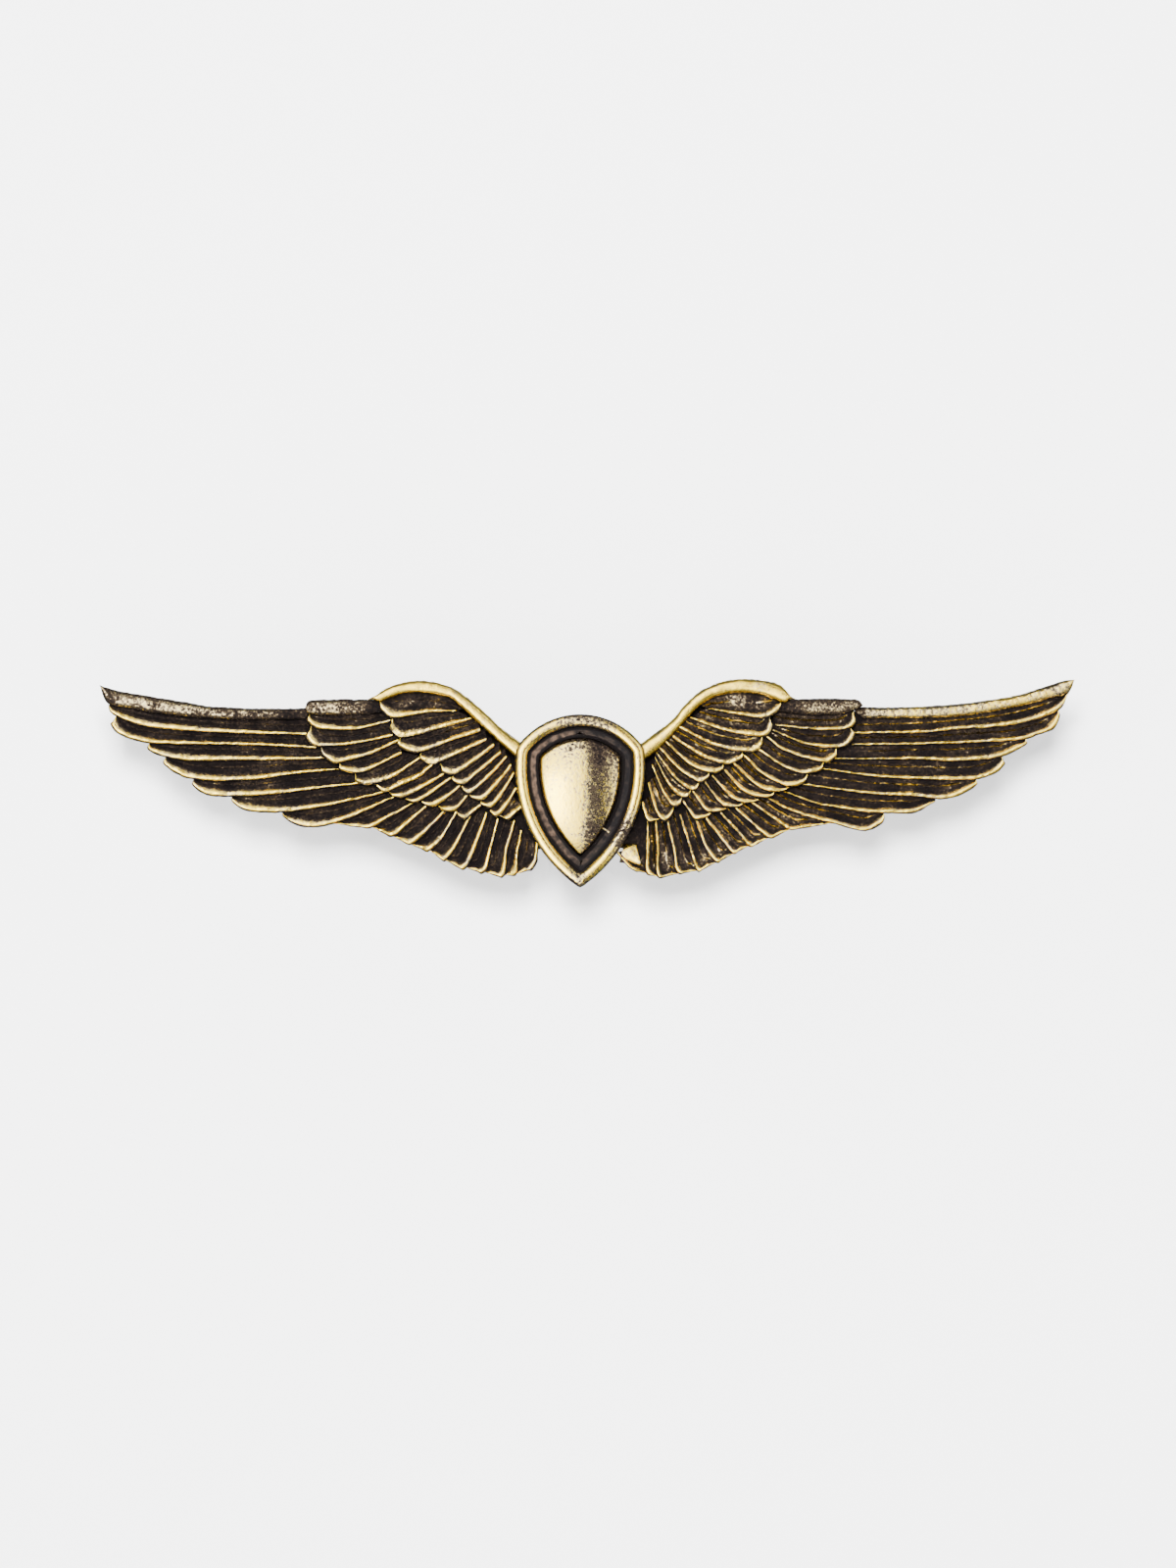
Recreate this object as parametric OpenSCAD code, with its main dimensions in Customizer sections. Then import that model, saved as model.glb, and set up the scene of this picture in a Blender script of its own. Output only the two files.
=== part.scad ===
// Pilot wings pin: a cast pair of wings with an applied shield, worn on cloth by two
// pointed posts and two butterfly clutches.
// X runs along the wings, Z is up as worn, and the front faces -Y. The origin is on the
// plate's flat back, where it lies on the cloth.

/* [Wings] */
// Span from wing tip to wing tip
wing_span = 76.2; // [70:0.1:80]
// Reach of the left wing against the right one's, from a die cut by hand
left_reach = 0.98; // [0.96:0.005:1]
// Thickness of the plate behind the feathers
plate_t = 1; // [0.9:0.05:1.2]
// Rise from one tier of feathers to the tier that lies on it
tier_rise = 0.45; // [0.35:0.05:0.55]
// Height of the raised edge round each feather
edge_h = 0.45; // [0.3:0.05:0.55]
// Width of the raised edge round each feather
edge_w = 0.34; // [0.28:0.01:0.4]

/* [Shield] */
// Half of the shield's greatest width
shield_half_w = 4.9; // [4.7:0.05:5]
// Width of the raised rim
rim_w = 0.85; // [0.7:0.05:0.95]
// Width of the black inlay between rim and dome
inlay_w = 0.9; // [0.7:0.05:1]
// Height of the rim above the shield's seat
rim_h = 2; // [1.8:0.05:2.2]
// Height of the dome above the inlay's floor
dome_h = 1.35; // [1:0.05:1.5]

/* [Posts] */
// Distance of each post from the middle
post_x = 14; // [13:0.1:15]
// Height of the posts above the origin
post_z = 1.8; // [1.6:0.1:2]
// Radius of a post's shaft
post_r = 0.55; // [0.5:0.01:0.6]
// Length of a post from the plate's back to its point
post_l = 6.9; // [6.6:0.1:7]

/* [Clutches] */
// Gap for the cloth between plate and clutch
cloth_gap = 1.5; // [1.2:0.1:1.8]
// Radius of a clutch's round base
base_r = 5.6; // [5.4:0.05:5.8]
// Radius of a clutch's housing
cap_r = 3.5; // [3.4:0.05:3.6]
// Height of a clutch from its base to the top of its housing
clutch_h = 6.1; // [6:0.05:6.3]
// How far each ear moves when squeezed
squeeze = 0.6; // [0.4:0.05:0.65]
// Running clearance between pieces that move
play = 0.05; // [0.04:0.01:0.06]

/* [Hidden] */
$fn = 48;
sides = ["left", "right"];
gold = [0.72, 0.61, 0.38];
black = [0.09, 0.08, 0.08];
brass = [0.83, 0.68, 0.36];
steel = [0.66, 0.66, 0.65];
tin = [0.62, 0.62, 0.6];

// Shield, in heights in front of the plate's back
solder_t = 0.1;
solder_inset = 0.8;
seat_h = plate_t + solder_t;
floor_h = seat_h + 0.9;
inlay_t = 0.5;
dome_r = 9;
dome_up = -0.6;

// Post: a nail with a flat head, a grip groove and a blunt point
post_head_r = 1.3;
post_head_t = 0.25;
fillet_w = 0.6;
groove_from = 3;
groove_to = 4.2;
groove_depth = 0.17;
point_l = 1.2;
point_r = 0.12;

// Clutch, in heights behind the plate's back
base_t = 0.45;
base_hole_r = 1.3;
curl_r = 0.4;
cap_wall = 0.4;
cap_round = 1;
cap_flange_r = cap_r + 0.7;
base_back = cloth_gap + base_t;
cap_back = cloth_gap + clutch_h;
jaw_t = 0.4;
jaw_gap = 0.06;
inner_jaw_y = 3.1;
outer_jaw_y = inner_jaw_y + jaw_t + jaw_gap;
jaw_half_w = 1.8;
jaw_round = 2.4;
window_half_w = jaw_half_w + 0.2;
window_from = inner_jaw_y - 0.25;
window_to = outer_jaw_y + jaw_t + 0.25;
ear_from = cap_r + squeeze + 0.25;
ear_l = 3.1;
ear_tilt = 35;
ear_half_w = 2.6;
ear_corner = 0.9;
wire_r = 0.2;
loop_r = 2.1;
loop_y = outer_jaw_y + jaw_t + 0.35;
loop_gap = 50;
overlap = 0.02;                  // how far joined volumes of one piece run into each other

// Guides for one wing: [outwards, up] points, and the belly of each feather's lower edge
// near its tip and near its root.
primary_tips = [[37.4, 5.9], [37.3, 5.4], [34.5, 3.05], [33, 1.9], [30.8, 0.05], [27.6, -1.4], [23.6, -2.6]];
primary_roots = [[21.7, 3.85], [20.5, 1.9], [18, -0.1], [14.8, -1.2]];
primary_bellies = [[1.2, 0.75], [2.7, 0.9], [1.45, 0.6], [2, 1.3], [1.45, 1.1], [1.3, 1.25], [1.4, 1.35]];
secondary_tips = [[17.85, -3], [12.9, -4.85], [8.8, -6.45], [4.65, -6.7]];
secondary_roots = [[13.7, -1.95], [9.95, -3], [6.6, -3.5], [4.8, -3.7]];
secondary_bellies = [[0.7, 0.6], [1.1, 0.8], [1.6, 0.9], [1.5, 0.7]];
middle_tips = [[21.5, 5.1], [20.3, 2.4], [17.65, 0.3], [14.7, -0.95], [12.3, -1.7], [9.6, -2.6]];
middle_roots = [[15.9, 4.6], [14.9, 3.1], [13.1, 1.65], [11.4, 0.4], [10.05, -0.75], [8.2, -2.1]];
middle_bellies = [[1.2, 0.8], [1.3, 0.9], [0.95, 0.85], [0.65, 0.5], [0.6, 0.45], [0.35, 0.3]];
upper_tips = [[15.65, 5.85], [14.4, 2.95], [11, 1], [9.4, -0.35], [7.9, -1.6], [6.1, -2.8]];
upper_roots = [[10.5, 5.6], [8.3, 3.9], [7.1, 2.7], [6.2, 1.6], [5.7, 0.1], [5, -2.1]];
upper_bellies = [[1.3, 0.3], [1.15, 0.75], [1, 0.45], [1.1, 0.5], [0.95, 0.4], [0.4, 0.3]];
// Leading edges: [outwards, up] points of each bar's middle line, and its widths there
tip_bar = [[37.75, 7.45], [35.5, 6.6], [32.5, 6.05], [29, 5.65], [25.5, 5.5], [21.5, 5.45]];
tip_bar_w = [0.7, 1.2, 1.15, 1.1, 1, 0.95];
forearm_bar = [[21.4, 6.05], [20, 6], [18.5, 5.95], [17.2, 6.1], [16.2, 6.4]];
forearm_bar_w = [1, 1.25, 1.2, 1.1, 0.8];
shoulder_bar = [[16, 6.9], [15.2, 7.25], [13.8, 7.5], [12.3, 7.5], [10.8, 7.3], [9.4, 6.5], [8.2, 5.5],
    [6.8, 4.1], [5.2, 2.7]];
shoulder_bar_w = [0.7, 1, 1.15, 1.1, 1.05, 1, 0.95, 0.95, 0.95];
wing_tip = [38.45, 8.15];
wing_scale = wing_span / wing_tip[0] / (1 + left_reach);

// A smooth curve through points p, at t counted in points
function through(p, t) = let (n = len(p) - 1, i = min(floor(t), n - 1), f = t - i,
    a = i > 0 ? p[i - 1] : 2 * p[0] - p[1], b = p[i], c = p[i + 1],
    d = i + 2 <= n ? p[i + 2] : 2 * p[n] - p[n - 1])
    (2 * b + (c - a) * f + (2 * a - 5 * b + 4 * c - d) * f * f + (3 * b - a - 3 * c + d) * f * f * f) / 2;
// Guide p at feather i of count
function guide(p, i, count) = through(p, i * (len(p) - 1) / (count - 1));
function turn(v) = [-v[1], v[0]];
function unit(v) = v / norm(v);
// The lower edge of a feather, from tip (t = 0) to root (t = 1)
function edge(tip, root, belly, t) = let (d = root - tip, n = turn(unit(d)),
    p1 = tip + 0.08 * d + belly[0] * n, p2 = tip + 0.55 * d + belly[1] * n)
    pow(1 - t, 3) * tip + 3 * t * pow(1 - t, 2) * p1 + 3 * t * t * (1 - t) * p2 + pow(t, 3) * root;
edge_steps = [0, 0.08, 0.2, 0.35, 0.5, 0.7, 0.85, 1];
function edges(count, tips, roots, bellies) = [for (i = [0 : count - 1])
    [for (t = edge_steps) edge(guide(tips, i, count), guide(roots, i, count), guide(bellies, i, count), t)]];
primaries = edges(7, primary_tips, primary_roots, primary_bellies);
secondaries = edges(10, secondary_tips, secondary_roots, secondary_bellies);
middles = edges(11, middle_tips, middle_roots, middle_bellies);
uppers = edges(11, upper_tips, upper_roots, upper_bellies);

function backwards(p) = [for (i = [len(p) - 1 : -1 : 0]) p[i]];
// The outline of a band w wide on the side of line p that its turn points to
function band(p, w) = let (n = len(p) - 1, side = [for (i = [0 : n])
    turn(unit(p[min(i + 1, n)] - p[max(i - 1, 0)]))])
    concat([for (i = [0 : n]) p[i] - w[i] / 2 * side[i]], [for (i = [n : -1 : 0]) p[i] + w[i] / 2 * side[i]]);
function bar(line, widths, steps = 3) = let (n = (len(line) - 1) * steps)
    band([for (i = [0 : n]) through(line, i / steps)], [for (i = [0 : n]) through(widths, i / steps)]);
// Plate under one tier: each feather's edge joined to the edge above it
module tier_2d(lines, above) {
    rows = concat([above], lines);
    for (i = [1 : len(rows) - 1]) polygon(concat(rows[i - 1], backwards(rows[i])));
}
// Raised edges of one tier
module edges_2d(lines) {
    for (p = lines) polygon(band(p, [for (t = edge_steps) edge_w * min(1, 0.6 + 3 * t)]));
}
module tip_bar_2d() polygon(concat([wing_tip], bar(tip_bar, tip_bar_w)));
module forearm_bar_2d() polygon(bar(forearm_bar, forearm_bar_w));
module shoulder_bar_2d() polygon(bar(shoulder_bar, shoulder_bar_w));
// Everything between the tiers' roots and the middle
module core_2d() polygon(concat([[0, 3.4], [5.2, 3.3]], backwards(shoulder_bar), [[16.6, 6.3]],
    [[21.5, 5.6]], primary_roots, secondary_roots, [[3.1, -6.2], [0, -6.5]]));
module plate_2d() {
    tip_bar_2d();
    forearm_bar_2d();
    shoulder_bar_2d();
    tier_2d(primaries, tip_bar);
    tier_2d(secondaries, primaries[6]);
    tier_2d(middles, forearm_bar);
    tier_2d(uppers, shoulder_bar);
    core_2d();
}
// One layer of relief, as a single outline, raised to h
module layer(h) linear_extrude(h) offset(delta = 0.01) scale(wing_scale) children();
module wing_relief() {
    layer(plate_t) plate_2d();
    layer(plate_t + edge_h) { edges_2d(primaries); edges_2d(secondaries); tip_bar_2d(); }
    layer(plate_t + tier_rise) tier_2d(middles, forearm_bar);
    layer(plate_t + tier_rise + edge_h) { edges_2d(middles); forearm_bar_2d(); }
    layer(plate_t + 2 * tier_rise) tier_2d(uppers, shoulder_bar);
    layer(plate_t + 2 * tier_rise + edge_h) edges_2d(uppers);
    layer(plate_t + 2 * tier_rise + 1.6 * edge_h) shoulder_bar_2d();
}

// Facing the front: drawn x and y stay x and z, and heights go towards -Y
module to_front(h = 0) translate([0, -h, 0]) rotate([90, 0, 0]) children();
// Facing the back: a turned profile's heights go towards +Y
module to_back(h = 0) translate([0, h, 0]) rotate([-90, 0, 0]) children();

module wing_plate() color(gold) to_front() {
    wing_relief();
    scale([left_reach, 1, 1]) mirror([1, 0, 0]) wing_relief();
}

// Shield outline, drawn in by inset: two long side arcs under a flatter top arc
side_arc_r = 11.4;
side_arc_up = 1.3;
top_arc_r = 6.06;
top_arc_up = -0.76;
module shield_2d(inset) intersection() {
    translate([shield_half_w - side_arc_r, side_arc_up]) circle(side_arc_r - inset);
    translate([side_arc_r - shield_half_w, side_arc_up]) circle(side_arc_r - inset);
    union() {
        translate([0, top_arc_up]) circle(top_arc_r - inset);
        translate([-top_arc_r, -2 * top_arc_r]) square([2 * top_arc_r, 2 * top_arc_r + side_arc_up]);
    }
}
module shield_solder() color(tin) to_front(plate_t) linear_extrude(solder_t) shield_2d(solder_inset);
module shield_boss() color(gold) {
    to_front(seat_h) linear_extrude(floor_h - seat_h) shield_2d(0);
    to_front(seat_h) linear_extrude(rim_h) difference() {
        shield_2d(0);
        shield_2d(rim_w);
    }
    intersection() {
        to_front(floor_h - overlap) linear_extrude(dome_h + 2 * overlap) shield_2d(rim_w + inlay_w);
        translate([0, dome_r - floor_h - dome_h, dome_up]) sphere(dome_r, $fn = 96);
    }
}
module shield_inlay() color(black) to_front(floor_h) linear_extrude(inlay_t) difference() {
    shield_2d(rim_w);
    shield_2d(rim_w + inlay_w);
}

module post() color(brass) to_back() rotate_extrude() polygon([[0, 0], [post_head_r, 0],
    [post_head_r, post_head_t], [post_r, post_head_t], [post_r, groove_from],
    [post_r - groove_depth, groove_from + groove_depth], [post_r - groove_depth, groove_to - groove_depth],
    [post_r, groove_to], [post_r, post_l - point_l], [point_r, post_l], [0, post_l]]);
module post_solder() color(tin) to_back() rotate_extrude() polygon([[post_head_r, 0],
    [post_head_r + fillet_w, 0], [post_head_r + fillet_w / 3, post_head_t / 3], [post_head_r, post_head_t]]);

// Round disc with a curled rim and a wide hole that finds the post
module clutch_base() color(brass) to_back(cloth_gap) {
    difference() {
        cylinder(base_t, base_r - curl_r, base_r - curl_r);
        translate([0, 0, -1]) cylinder(base_t + 2, base_hole_r, base_hole_r);
    }
    rotate_extrude() translate([base_r - curl_r, curl_r]) circle(curl_r);
}
// Drawn cup with a rounded shoulder, a crimped flange and a window for each ear
module clutch_cap() color(brass) difference() {
    to_back(base_back) rotate_extrude() {
        difference() {
            union() {
                square([cap_r, cap_back - base_back - cap_round]);
                square([cap_r - cap_round, cap_back - base_back]);
                translate([cap_r - cap_round, cap_back - base_back - cap_round]) intersection() {
                    circle(cap_round);
                    square(cap_round);
                }
                square([cap_flange_r, cap_wall]);
            }
            translate([-1, -1]) square([1 + cap_r - cap_wall, 1 + cap_back - base_back - cap_round]);
            translate([-1, -1]) square([1 + cap_r - cap_round, 1 + cap_back - base_back - cap_wall]);
        }
    }
    translate([-cap_r - 0.3, window_from, -window_half_w])
        cube([2 * cap_r + 0.6, window_to - window_from, 2 * window_half_w]);
}
// Jaw whose ear points to +X: its slot's far edge grips the post until the ear is squeezed
module jaw(y) color(brass) {
    grip = post_r + play;
    translate([0, y, 0]) rotate([-90, 0, 0]) linear_extrude(jaw_t) difference() {
        union() {
            intersection() {
                circle(jaw_round);
                square([2 * jaw_round, 2 * jaw_half_w], center = true);
            }
            translate([0, -jaw_half_w]) square([ear_from, 2 * jaw_half_w]);
        }
        circle(grip);
        translate([squeeze, 0]) circle(grip);
        translate([0, -grip]) square([squeeze, 2 * grip]);
    }
    translate([ear_from, y, 0]) rotate([0, 0, ear_tilt]) rotate([-90, 0, 0]) linear_extrude(jaw_t)
        polygon([[-jaw_t * tan(ear_tilt / 2), -jaw_half_w], [ear_l / 2, -ear_half_w],
            [ear_l - ear_corner, -ear_half_w], [ear_l, -ear_half_w + ear_corner],
            [ear_l, ear_half_w - ear_corner], [ear_l - ear_corner, ear_half_w], [ear_l / 2, ear_half_w],
            [-jaw_t * tan(ear_tilt / 2), jaw_half_w]]);
}
// Open wire loop round the post, whose ends push the ears apart
module clutch_spring() color(steel) to_back(loop_y) rotate(90 + loop_gap / 2)
    rotate_extrude(angle = 360 - loop_gap) translate([loop_r, 0]) circle(wire_r);

// A side's hardware is made with +X outwards and stood on its post
module on_side(side) translate([side == "left" ? -post_x : post_x, 0, post_z])
    mirror([side == "left" ? 1 : 0, 0, 0]) children();

wing_plate();
shield_boss();
shield_inlay();
shield_solder();
for (side = sides) on_side(side) {
    post();
    post_solder();
    clutch_base();
    clutch_cap();
    mirror([1, 0, 0]) jaw(inner_jaw_y);
    jaw(outer_jaw_y);
    clutch_spring();
}
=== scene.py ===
import bmesh
import bpy
import math
from mathutils import Euler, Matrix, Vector, noise


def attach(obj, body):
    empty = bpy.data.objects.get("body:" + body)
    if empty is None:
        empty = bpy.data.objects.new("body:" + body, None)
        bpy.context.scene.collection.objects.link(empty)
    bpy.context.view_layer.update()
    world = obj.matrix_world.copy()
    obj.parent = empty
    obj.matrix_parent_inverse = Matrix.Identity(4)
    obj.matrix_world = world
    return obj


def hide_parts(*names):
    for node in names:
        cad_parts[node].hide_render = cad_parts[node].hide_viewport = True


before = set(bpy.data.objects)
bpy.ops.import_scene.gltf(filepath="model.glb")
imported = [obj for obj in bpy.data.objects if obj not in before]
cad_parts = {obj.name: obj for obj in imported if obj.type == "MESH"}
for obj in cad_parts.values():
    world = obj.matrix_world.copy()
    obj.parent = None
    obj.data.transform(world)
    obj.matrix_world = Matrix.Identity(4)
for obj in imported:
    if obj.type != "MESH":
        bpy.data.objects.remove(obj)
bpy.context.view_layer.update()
mm = 0.001
scene = bpy.context.scene


# small helpers
def linear(hexColour):
    # an sRGB hex colour as the linear one that Blender mixes
    parts = [int(hexColour[i:i + 2], 16) / 255 for i in (1, 3, 5)]
    return [c / 12.92 if c <= 0.04045 else ((c + 0.055) / 1.055) ** 2.4 for c in parts] + [1]


def addNode(material, kind, settings=None, inputs=None):
    # an input that is a socket is linked, and any other is set as a value
    tree = material.node_tree
    node = tree.nodes.new(kind)
    for name, value in (settings or {}).items():
        setattr(node, name, value)
    for name, value in (inputs or {}).items():
        if isinstance(value, bpy.types.NodeSocket):
            tree.links.new(value, node.inputs[name])
        else:
            node.inputs[name].default_value = value
    return node


def newMaterial(name):
    material = bpy.data.materials.new(name)
    material.use_nodes = True
    material.node_tree.nodes.clear()
    return material


def finishMaterial(material, shader):
    addNode(material, "ShaderNodeOutputMaterial", inputs={"Surface": shader.outputs[0]})
    return material


def ramp(material, factor, stops):
    # stops are (place, hex colour or grey level)
    node = addNode(material, "ShaderNodeValToRGB", inputs={"Fac": factor})
    points = node.color_ramp.elements
    while len(points) < len(stops):
        points.new(0.5)
    for point, (place, colour) in zip(points, stops):
        point.position = place
        point.color = linear(colour) if isinstance(colour, str) else [colour] * 3 + [1]
    return node


def makePiece(name, bm, material, smoothAngle=40):
    # edges sharper than smoothAngle, in degrees, stay crisp
    mesh = bpy.data.meshes.new(name)
    bm.to_mesh(mesh)
    bm.free()
    mesh.validate()
    mesh.materials.append(material)
    mesh.shade_smooth()
    mesh.set_sharp_from_angle(angle=math.radians(smoothAngle))
    piece = bpy.data.objects.new(name, mesh)
    scene.collection.objects.link(piece)
    return piece


# curves
def smoothLine(points, count):
    # evenly spaced points along a smooth curve through the given ones
    steps = 12                                           # of the fine curve, between two given points
    p = [Vector(q) for q in points]
    p = [2 * p[0] - p[1]] + p + [2 * p[-1] - p[-2]]
    fine = []
    for i in range(1, len(p) - 2):
        a, b, c, d = p[i - 1:i + 3]
        for k in range(steps):
            t = k / steps
            fine.append((2 * b + (c - a) * t + (2 * a - 5 * b + 4 * c - d) * t * t
                         + (3 * b - a - 3 * c + d) * t ** 3) / 2)
    fine.append(p[-2])
    lengths = [0]
    for a, b in zip(fine, fine[1:]):
        lengths.append(lengths[-1] + (b - a).length)
    out = []
    k = 0
    for i in range(count):
        goal = lengths[-1] * i / (count - 1)
        while k < len(fine) - 2 and lengths[k + 1] < goal:
            k += 1
        span = max(lengths[k + 1] - lengths[k], 1e-9)
        out.append(fine[k].lerp(fine[k + 1], min(1, (goal - lengths[k]) / span)))
    return out


def curveLength(points):
    # measured over 30 points, which is near enough
    line = smoothLine(points, 30)
    return sum((b - a).length for a, b in zip(line, line[1:]))


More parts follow.
